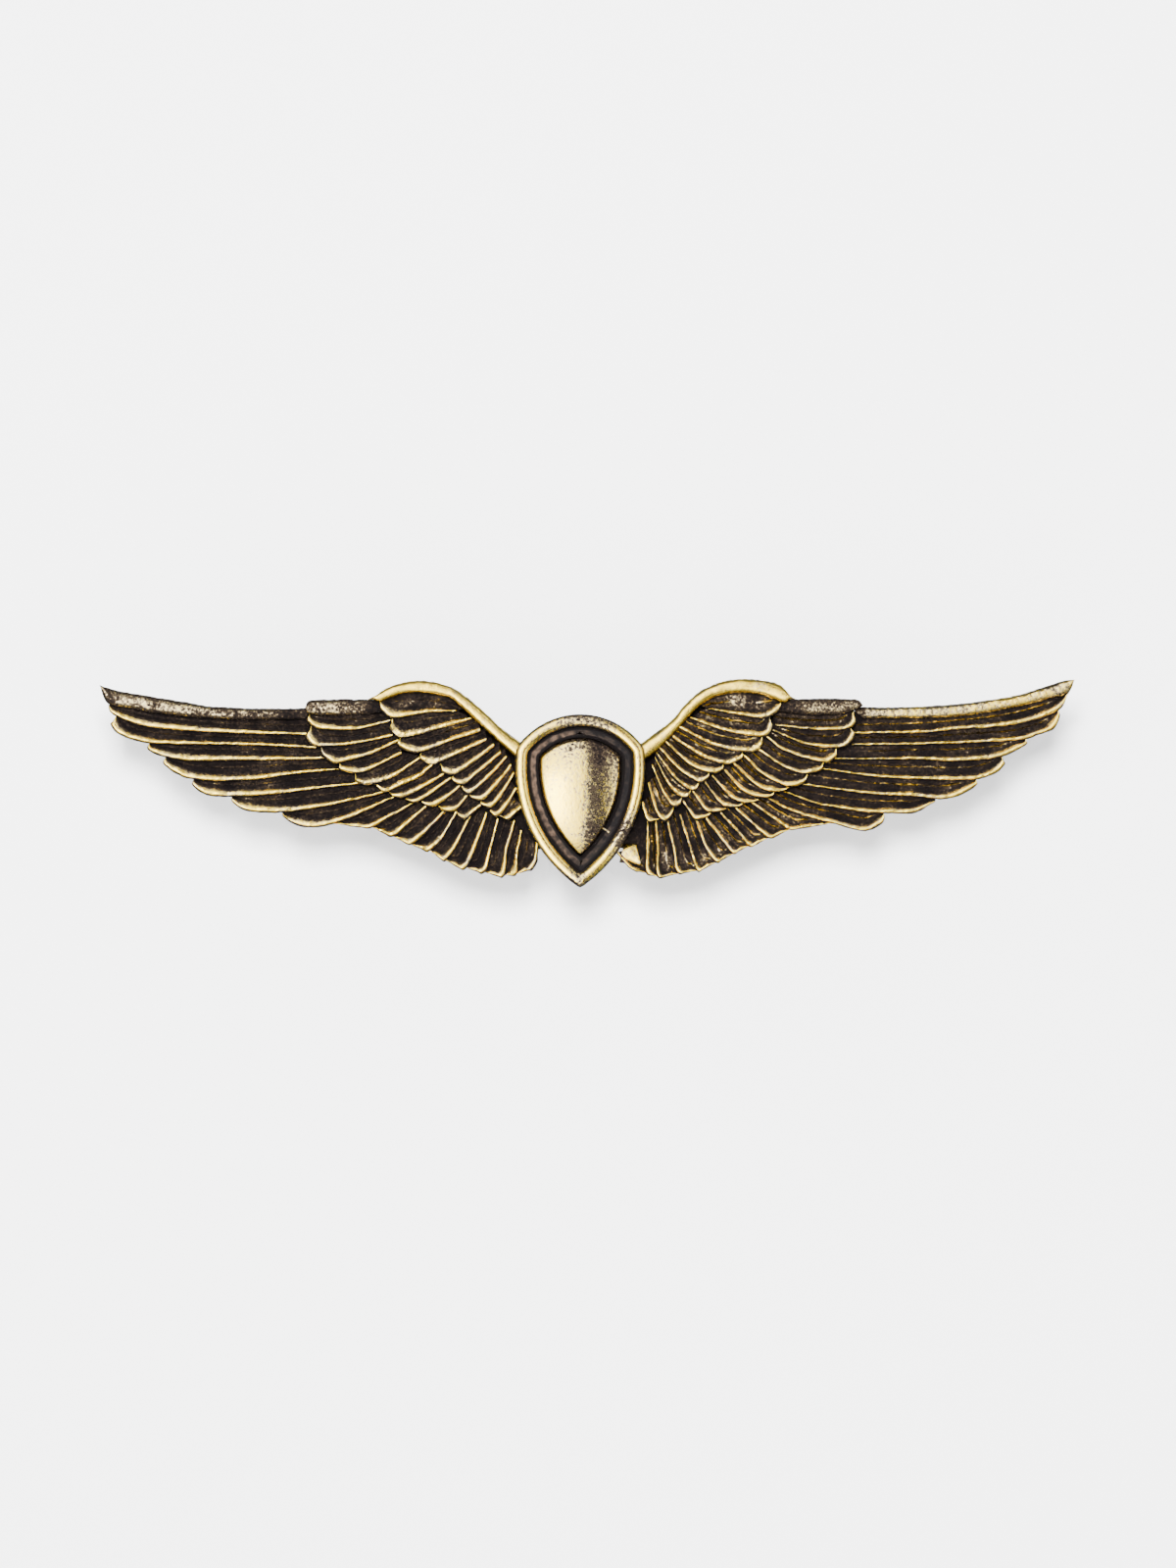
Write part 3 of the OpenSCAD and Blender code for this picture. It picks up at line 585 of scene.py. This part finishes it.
def domePlace(angle, share):
    edge = shieldReach(angle, shield["domeInset"])
    x, z = share * edge * math.cos(angle), shield["middleUp"] + share * edge * math.sin(angle)
    radius = shield["domeRadius"]
    ball = shield["domeCrown"] - radius + math.sqrt(radius ** 2 - x * x - (z - shield["domeUp"]) ** 2)
    near = min(1, (1 - share) * edge / shield["domeEdge"])
    # steep up from its foot, then round as a ball
    foot = shield["domeFoot"]
    height = foot + (ball - foot) * (1 - (1 - near) ** 2.4)
    lean = x - shield["bandLean"] * z
    right = clamp(lean + 0.1)
    topPlace, topSpread, topDullAndShade = shield["domeTop"]
    bandPlace, bandSpread, bandDullAndShade = shield["domeBand"]
    # pits plus painted dark reflection and painted shade: darker to the right, at the top and along a leaning
    # band
    shine = (1.0 - shield["domeRight"] * right * right * (3 - 2 * right)
             - topDullAndShade * math.exp(-((z - topPlace) / topSpread) ** 2)
             - bandDullAndShade * math.exp(-((lean - bandPlace) / bandSpread) ** 2))
    return share * edge, height, shine * (0.25 + 0.75 * min(1, near * 2))


def makeShield():
    bm = bmesh.new()
    rings = [lambda a, r=r: (shieldReach(a, r[0]), r[1], r[2] * dullness(a)) for r in shield["rim"]]
    for k in range(shield["domeRings"] + 1):
        share = math.cos(math.pi / 2 * k / (shield["domeRings"] + 1))
        rings.append(lambda a, s=share: domePlace(a, s))
    loops = shieldRings(bm, rings, False)
    crown = Vector((shield["middleX"] * mm, -domePlace(0, 0)[1] * mm, shield["middleUp"] * mm))
    bmesh.ops.pointmerge(bm, verts=loops[-1], merge_co=crown)
    bmesh.ops.holes_fill(bm, edges=[e for e in bm.edges if e.is_boundary])
    sliver = bmesh.ops.create_cube(bm, size=1)["verts"]
    turn = Euler((0, math.radians(shield["sliverTurn"]), 0)).to_matrix()
    x, z = shield["sliver"]
    low, high = shield["sliverHeights"]
    wear = bm.verts.layers.float["wear"]
    for v in sliver:
        front = v.co.y < 0
        v.co = Vector((x, 0, z)) + turn @ Vector(
            (v.co.x * shield["sliverLength"], 0, v.co.z * shield["sliverWidth"]))
        v.co.y = -high if front else -low
        v.co *= mm
        v[wear] = shield["sliverWear"]
    bmesh.ops.recalc_face_normals(bm, faces=bm.faces)
    boss = makePiece("shield_stamping", bm, polishedGilt, 60)
    bm = bmesh.new()
    shieldRings(bm, [lambda a, r=r: (shieldReach(a, r[0]), r[1], r[2]) for r in shield["enamel"]], True)
    bmesh.ops.recalc_face_normals(bm, faces=bm.faces)
    inlay = makePiece("enamel_ring", bm, blackEnamel, 60)
    return boss, inlay


# clutches
clutch = {
    # place of the right-hand post
    "x": 14, "z": 1.8, "turns": 72,
    # radius and distance behind the plate of each turned line
    "base": [(1.3, 1.62), (1.36, 1.52), (1.5, 1.5), (3.2, 1.5), (3.5, 1.62), (4.0, 1.62), (4.3, 1.5),
             (4.9, 1.5), (5.3, 1.54), (5.52, 1.68), (5.6, 1.9), (5.52, 2.12), (5.3, 2.27), (5.08, 2.27),
             (4.92, 2.12), (4.85, 1.95), (4.3, 1.9), (4.0, 1.98), (3.5, 1.98), (3.2, 1.93), (1.5, 1.93),
             (1.36, 1.88)],
    "cap": [(4.2, 2.15), (3.75, 2.15), (3.58, 2.22), (3.5, 2.4), (3.5, 2.85), (3.5, 4.21), (3.5, 6.6),
            (3.45, 6.95), (3.3, 7.25), (3.05, 7.45), (2.75, 7.56), (2.2, 7.6), (1.6, 7.6), (1.3, 7.55),
            (1.05, 7.42), (0.8, 7.38), (0.4, 7.37)],
    # the cap's windows: nearest and farthest place behind the plate, half of their width
    "capWall": 0.4, "window": (2.85, 4.21), "windowHalf": 2.0,
    # a jaw: where it starts past the post, its bend in degrees, half widths of its neck and ear
    "jawThickness": 0.4, "jawLevels": {"inner": 3.1, "outer": 3.56}, "jawStart": 2.4,
    "bendAt": 4.35, "bendRadius": 0.8, "bend": 35, "earLength": 2.6, "neck": 1.8, "ear": 2.6,
    # mm over which an ear flares out and its end is rounded, and the jaw's inner end is rounded
    "earFlare": 1.5, "earRound": 1.1, "jawRound": 1.6, "jawRows": 36, "jawColumns": 12,
}


def placeClutch(bm, side):
    # made about +Y with its outer ear to +X, then stood on its post
    for v in bm.verts:
        v.co = ((side * (clutch["x"] + v.co.x)) * mm, v.co.y * mm, (clutch["z"] + v.co.z) * mm)
    bmesh.ops.recalc_face_normals(bm, faces=bm.faces)


def turned(bm, line, closed):
    # a line of (radius, place along the post) spun about the post
    verts = [bm.verts.new((r, y, 0)) for r, y in line]
    edges = [bm.edges.new(pair) for pair in zip(verts, verts[1:])]
    if closed:
        edges.append(bm.edges.new((verts[-1], verts[0])))
    bmesh.ops.spin(bm, geom=verts + edges, axis=(0, 1, 0), cent=(0, 0, 0), angle=2 * math.pi,
                   steps=clutch["turns"], use_merge=True)
    bmesh.ops.remove_doubles(bm, verts=bm.verts, dist=0.001)


def makeClutch(side, name):
    made = []
    bm = bmesh.new()
    turned(bm, clutch["base"], True)
    placeClutch(bm, side)
    made.append((makePiece(name + "_clutch_disc", bm, stampedBrass, 50), "base", name + "_clutch"))
    # drawn cup: a single wall with its windows cut out, then thickened
    bm = bmesh.new()
    turned(bm, clutch["cap"], False)
    lastRadius, top = clutch["cap"][-1]
    inner = [v for v in bm.verts if math.hypot(v.co.x, v.co.z) < lastRadius + 0.01]
    bmesh.ops.pointmerge(bm, verts=inner, merge_co=Vector((0, top, 0)))
    low, high = clutch["window"]
    windows = [f for f in bm.faces if low < f.calc_center_median().y < high
               and abs(f.calc_center_median().z) < clutch["windowHalf"]]
    bmesh.ops.delete(bm, geom=windows, context="FACES")
    bmesh.ops.recalc_face_normals(bm, faces=bm.faces)
    placeClutch(bm, side)
    cup = makePiece(name + "_clutch_cup", bm, stampedBrass, 50)
    wall = cup.modifiers.new("wall", "SOLIDIFY")
    wall.thickness = clutch["capWall"] * mm
    wall.offset = -1
    wall.use_even_offset = True
    made.append((cup, "cap", name + "_clutch"))
    for which, level in clutch["jawLevels"].items():
        made.append((makeJaw(side, name, which, level), which + "_jaw", f"{name}_{which}_ear"))
    return made


def makeJaw(side, name, which, level):
    # a plate from inside the cup, through its window, to a flared and bent-up ear
    rows, columns = clutch["jawRows"], clutch["jawColumns"]
    start, bendAt, radius = clutch["jawStart"], clutch["bendAt"], clutch["bendRadius"]
    bm = bmesh.new()
    bmesh.ops.create_grid(bm, x_segments=columns, y_segments=rows, size=1)
    bm.verts.ensure_lookup_table()
    bend = math.radians(clutch["bend"])
    turn = radius * bend
    flat = bendAt + start
    total = flat + turn + clutch["earLength"]
    for j in range(rows + 1):
        s = total * j / rows
        if s < flat:
            x, y = s - start, 0
        elif s < flat + turn:
            a = (s - flat) / radius
            x, y = bendAt + radius * math.sin(a), radius * (1 - math.cos(a))
        else:
            d = s - flat - turn
            x = bendAt + radius * math.sin(bend) + d * math.cos(bend)
            y = radius * (1 - math.cos(bend)) + d * math.sin(bend)
        flare = clamp((s - flat) / clutch["earFlare"]) ** 0.8
        half = clutch["neck"] + (clutch["ear"] - clutch["neck"]) * flare
        if s < clutch["jawRound"]:
            half = min(half, math.sqrt(max(0.6, start ** 2 - (s - start) ** 2)))
        end = (total - s) / clutch["earRound"]
        if end < 1:
            half *= 0.55 + 0.45 * math.sqrt(max(0, 1 - (1 - end) ** 2))
        for k in range(columns + 1):
            v = bm.verts[j * (columns + 1) + k]
            v.co = (x, level + y, half * (2 * k / columns - 1))
    if which == "inner":
        for v in bm.verts:
            v.co.x *= -1
    placeClutch(bm, side)
    jaw = makePiece(f"{name}_{which}_ear_plate", bm, stampedBrass, 50)
    wall = jaw.modifiers.new("thickness", "SOLIDIFY")
    wall.thickness = clutch["jawThickness"] * mm
    wall.offset = 0
    return jaw


# finishes
def giltShader(m, gritMm, ragged, patchy, stops, roughness, bumpMm):
    # gilt where wear has polished it, patina where it hasn't, with a ragged edge between
    # real casting grit is under 0.1 mm, and gritMm is coarser, so that it shows
    place = addNode(m, "ShaderNodeTexCoord").outputs["Object"]
    # the attribute holds wear, and in places painted light: a painted highlight on the right wing's shafts
    # and webs, and a painted dark reflection on the dome
    wear = addNode(m, "ShaderNodeAttribute", {"attribute_name": "wear"}).outputs["Fac"]
    fine = addNode(m, "ShaderNodeTexNoise", inputs={
        "Vector": place, "Scale": 1 / (gritMm * mm), "Detail": 4, "Roughness": 0.65})
    broad = addNode(m, "ShaderNodeTexNoise", inputs={
        "Vector": place, "Scale": 1 / (1.4 * mm), "Detail": 2, "Roughness": 0.5})
    raggedEdge = addNode(m, "ShaderNodeMath", {"operation": "MULTIPLY_ADD"}, {
        0: fine.outputs["Fac"], 1: 2 * ragged, 2: -ragged})
    patches = addNode(m, "ShaderNodeMath", {"operation": "MULTIPLY_ADD"}, {
        0: broad.outputs["Fac"], 1: 2 * patchy, 2: -patchy})
    uneven = addNode(m, "ShaderNodeMath", {"operation": "ADD"}, {
        0: raggedEdge.outputs[0], 1: patches.outputs[0]})
    level = addNode(m, "ShaderNodeMath", {"operation": "ADD"}, {0: wear, 1: uneven.outputs[0]})
    colour = ramp(m, level.outputs[0], stops)
    metal = ramp(m, level.outputs[0], [(0.38, 0.0), (0.46, 1.0)])
    rough = ramp(m, level.outputs[0], [(0.3, 0.75), (0.46, roughness + 0.05), (0.85, roughness)])
    bump = addNode(m, "ShaderNodeBump", inputs={
        "Height": level.outputs[0], "Strength": 0.6, "Distance": bumpMm * mm})
    shader = addNode(m, "ShaderNodeBsdfPrincipled", inputs={
        "Base Color": colour.outputs[0], "Metallic": metal.outputs[0], "Roughness": rough.outputs[0],
        "Specular IOR Level": 0.05, "Normal": bump.outputs[0]})
    return finishMaterial(m, shader)


def makeAntiquedGilt():
    # antiqued gilt on die-cast zinc alloy: pale gold on the rubbed ridges, brown-black in the recesses
    return giltShader(newMaterial("antiquedGilt"), 0.2, 0.72, 0.45, [
        (0.0, "#070505"), (0.22, "#0F0B09"), (0.41, "#211A14"), (0.46, "#463A2B"), (0.54, "#8A7B60"),
        (0.7, "#D4BE84"), (0.86, "#FFDA55")], 0.23, 0.024)


def makePolishedGilt():
    # polished gilt on stamped brass: a near mirror with a warm edge, and dark pits where it is less rubbed;
    # on the dome part of that darkness is a painted dark reflection
    return giltShader(newMaterial("polishedGilt"), 0.2, 1.1, 0.25, [
        (0.0, "#080606"), (0.34, "#1A1410"), (0.44, "#453A2C"), (0.52, "#665C4C"), (0.6, "#978769"),
        (0.72, "#DCC37C"), (0.86, "#FFDA55")], 0.15, 0.014)


def makeBlackEnamel():
    # soft black enamel: satin black with a lighter, brown-grey painted sheen along its middle, most of all on
    # the left, and painted shade towards the right
    m = newMaterial("blackEnamel")
    place = addNode(m, "ShaderNodeTexCoord").outputs["Object"]
    edge = addNode(m, "ShaderNodeAttribute", {"attribute_name": "wear"}).outputs["Fac"]
    specks = addNode(m, "ShaderNodeTexNoise", inputs={"Vector": place, "Scale": 1 / (0.35 * mm), "Detail": 3})
    # painted shade: darker to the right, lighter to the left where the light falls
    across = addNode(m, "ShaderNodeSeparateXYZ", inputs={0: place}).outputs["X"]
    right = addNode(m, "ShaderNodeMapRange", inputs={
        "Value": across, "From Min": -4.5 * mm, "From Max": 4.5 * mm,
        "To Min": -0.22, "To Max": 0.3}).outputs["Result"]
    speckled = addNode(m, "ShaderNodeMath", {"operation": "MULTIPLY_ADD"}, {
        0: specks.outputs["Fac"], 1: 0.9, 2: edge})
    level = addNode(m, "ShaderNodeMath", {"operation": "ADD"}, {0: speckled.outputs[0], 1: right})
    # brown-grey is the painted sheen, near-black the enamel with its painted edge shade
    colour = ramp(m, level.outputs[0], [(0.15, "#46372C"), (0.42, "#1F1915"), (0.66, "#080606")])
    bump = addNode(m, "ShaderNodeBump", inputs={
        "Height": specks.outputs["Fac"], "Strength": 0.3, "Distance": 0.02 * mm})
    shader = addNode(m, "ShaderNodeBsdfPrincipled", inputs={
        "Base Color": colour.outputs[0], "Roughness": 0.4, "Specular IOR Level": 0.06,
        "Normal": bump.outputs[0]})
    return finishMaterial(m, shader)


def makePlain(name, hexColour, metallic, roughness):
    # one colour with a fine grain, drawn at 0.3 mm so that it shows
    m = newMaterial(name)
    place = addNode(m, "ShaderNodeTexCoord").outputs["Object"]
    grain = addNode(m, "ShaderNodeTexNoise", inputs={"Vector": place, "Scale": 1 / (0.3 * mm), "Detail": 3})
    bump = addNode(m, "ShaderNodeBump", inputs={
        "Height": grain.outputs["Fac"], "Strength": 0.15, "Distance": 0.01 * mm})
    shader = addNode(m, "ShaderNodeBsdfPrincipled", inputs={
        "Base Color": linear(hexColour), "Metallic": metallic, "Roughness": roughness,
        "Normal": bump.outputs[0]})
    return finishMaterial(m, shader)


# studio
studio = {
    # metres, and the sensor in mm
    "cameraDistance": 0.6, "frameHeight": 0.1226, "sensor": 24, "aimX": 0.00046,
    "wallGap": 0.0082, "floorDrop": 0.09, "sheetSize": 2, "floorColour": "#E8E8E8",
    "wallColour": "#DFDFDF", "worldColour": "#E2E9F8", "world": 0.3,
    # place, size and watts of each light
    "lights": {
        "keyLight": ((-0.02, -0.6, 0.15), (0.15, 0.15), 22),
        "topSoftbox": ((0, -0.2, 0.5), (0.5, 0.25), 2),
        "leftSoftbox": ((-0.34, -0.5, 0.04), (0.12, 0.34), 2),
        "backSoftbox": ((0.25, 0.5, 0.3), (0.3, 0.3), 8)},
    # cards seen only in reflections: left, right, low, high, distance, brightness, width of the soft edge
    "cards": {
        "hotCard": (-0.8, -0.26, -0.78, 0.5, 1.48, 22, 0.2),
        "wideCard": (-1.1, 0.16, -1.4, 1.6, 1.5, 5.6, 0.12),
        "blackFlag": (0.0, 1.0, -1.4, 1.6, 1.52, 0, 0),
        "rightCard": (0.64, 1.5, -0.8, 1.2, 1.5, 4.6, 0.16),
        "leftFill": (-4, -1.2, -2, 3, 1.5, 1.8, 0.3),
        "rightFill": (1.5, 4, -2, 3, 1.5, 1.5, 0.3),
        "topFill": (-1.4, 1.6, 1.65, 4, 1.5, 1.8, 0.3),
        "lowFill": (-1.4, 1.6, -4, -1.45, 1.5, 1.2, 0.3),
        "backCard": (-0.6, 0.6, -0.3, 0.9, -1.5, 4, 0.1)},
}


def addLight(name, place, size, watts):
    # aimed at the object, and left out of its reflections, which the cards make
    data = bpy.data.lights.new(name, "AREA")
    data.shape = "RECTANGLE"
    data.size, data.size_y = size
    data.energy = watts
    light = bpy.data.objects.new(name, data)
    light.location = place
    light.rotation_euler = (-Vector(place)).to_track_quat("-Z", "Y").to_euler()
    light.visible_glossy = False
    scene.collection.objects.link(light)


def makeCard(name, left, right, low, high, distance, strength, soft):
    # an upright sheet on the camera's side of the object, or behind it, that only reflections see
    glow = newMaterial(name)
    if strength:
        fade = addNode(glow, "ShaderNodeAttribute", {"attribute_name": "fade"}).outputs["Fac"]
        level = addNode(glow, "ShaderNodeMath", {"operation": "MULTIPLY"}, {0: fade, 1: strength})
        light = addNode(glow, "ShaderNodeEmission", inputs={"Strength": level.outputs[0]})
        clear = addNode(glow, "ShaderNodeBsdfTransparent")
        finishMaterial(glow, addNode(glow, "ShaderNodeMixShader", inputs={
            0: fade, 1: clear.outputs[0], 2: light.outputs[0]}))
    else:
        finishMaterial(glow, addNode(glow, "ShaderNodeBsdfDiffuse", inputs={"Color": linear("#050505")}))
    bm = bmesh.new()
    bmesh.ops.create_grid(bm, x_segments=48, y_segments=48, size=0.5)
    fade = bm.verts.layers.float.new("fade")
    for v in bm.verts:
        v.co = (left + (right - left) * (v.co.x + 0.5), -distance, low + (high - low) * (v.co.y + 0.5))
        inside = min(v.co.x - left, right - v.co.x, v.co.z - low, high - v.co.z)
        share = min(1, max(0, inside / max(soft, 0.001)))
        v[fade] = share * share * (3 - 2 * share)
    card = makePiece(name, bm, glow)
    for ray in ("camera", "diffuse", "shadow", "transmission"):
        setattr(card, "visible_" + ray, False)


def makeStudio():
    data = bpy.data.cameras.new("camera")
    data.sensor_fit = "VERTICAL"
    data.sensor_height = studio["sensor"]
    data.lens = studio["sensor"] * studio["cameraDistance"] / studio["frameHeight"]
    data.clip_start = 0.01
    data.clip_end = 20
    camera = bpy.data.objects.new("camera", data)
    camera.location = (studio["aimX"], -studio["cameraDistance"], 0)
    camera.rotation_euler = (math.pi / 2, 0, 0)
    scene.collection.objects.link(camera)
    scene.camera = camera
    world = bpy.data.worlds.new("studioWorld")
    world.use_nodes = True
    sky = world.node_tree.nodes["Background"]
    sky.inputs["Color"].default_value = linear(studio["worldColour"])
    sky.inputs["Strength"].default_value = studio["world"]
    scene.world = world
    for name, (place, size, watts) in studio["lights"].items():
        addLight(name, place, size, watts)
    # matt paper, clear from behind so that the back can be seen too
    wall = newMaterial("paperBackdrop")
    paper = addNode(wall, "ShaderNodeBsdfDiffuse", inputs={"Color": linear(studio["wallColour"])})
    seeThrough = addNode(wall, "ShaderNodeBsdfTransparent")
    behind = addNode(wall, "ShaderNodeNewGeometry").outputs["Backfacing"]
    mix = addNode(wall, "ShaderNodeMixShader", inputs={
        0: behind, 1: paper.outputs[0], 2: seeThrough.outputs[0]})
    finishMaterial(wall, mix)
    floor = makePlain("paperFloor", studio["floorColour"], 0, 0.9)
    for name, card in studio["cards"].items():
        makeCard(name, *card)
    for name, material in (("backdrop", wall), ("floor", floor)):
        bm = bmesh.new()
        bmesh.ops.create_grid(bm, x_segments=1, y_segments=1, size=studio["sheetSize"])
        for v in bm.verts:
            if name == "backdrop":
                v.co = (v.co.x, studio["wallGap"], v.co.y)
            else:
                v.co.z = -studio["floorDrop"]
        if name == "backdrop":
            for f in bm.faces:
                f.normal_update()
                if f.normal.y > 0:
                    f.normal_flip()
        sheet = makePiece(name, bm, material)
        sheet.visible_glossy = False


antiquedGilt = makeAntiquedGilt()
polishedGilt = makePolishedGilt()
blackEnamel = makeBlackEnamel()
tinSolder = makePlain("tinSolder", "#9A9A98", 1, 0.5)            # dull grey, as it sets
stampedBrass = makePlain("stampedBrass", "#D8B765", 1, 0.3)      # bright yellow with a satin drawn surface
springSteel = makePlain("springSteel", "#B9B9B7", 1, 0.3)        # clean grey drawn wire

casting = makeWings()
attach(casting, "badge")
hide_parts("wing_plate")
print("wings made")

boss, inlay = makeShield()
for piece, node, slot in ((boss, "shield_boss", "polished_gilt"), (inlay, "shield_inlay", "black_enamel")):
    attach(piece, "badge")
    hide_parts(node)
print("shield made")

for side, name in ((-1, "left"), (1, "right")):
    for piece, part, body in makeClutch(side, name):
        node = name + ("_clutch_" + part if part in ("base", "cap") else "_" + part)
        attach(piece, body)
        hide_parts(node)
print("clutches made")


def finishOf(node):
    if node == "shield_boss":
        return polishedGilt
    if node == "shield_inlay":
        return blackEnamel
    if "solder" in node:
        return tinSolder
    return springSteel if "spring" in node else stampedBrass


for node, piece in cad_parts.items():
    for slot in piece.material_slots:
        slot.material = finishOf(node)
print("finishes given")

makeStudio()
print("studio made")
